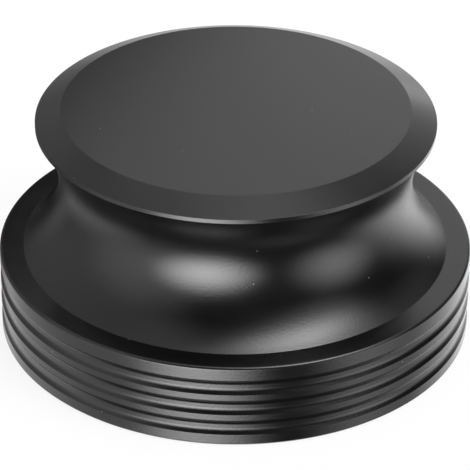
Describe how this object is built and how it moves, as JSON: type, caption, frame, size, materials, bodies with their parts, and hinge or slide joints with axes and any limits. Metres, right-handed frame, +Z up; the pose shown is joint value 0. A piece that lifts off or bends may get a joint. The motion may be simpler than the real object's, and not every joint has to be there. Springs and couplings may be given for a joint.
{
  "type": "record weight",
  "caption": "Turned black aluminium weight that sits on a record's label over the turntable spindle, with a bevelled cap, a waist to grip and a grooved base.",
  "frame": {"origin": "centre of the flat underside, where the weight rests on the record", "axes": "+Z up along the turning axis; X and Y are free, because the form is the same all round"},
  "size_m": [0.075, 0.075, 0.038],
  "materials": {
    "black_anodised": "satin black anodised, finely turned"
  },
  "bodies": {
    "root": {"weight_body": "black_anodised"}
  },
  "joints": []
}
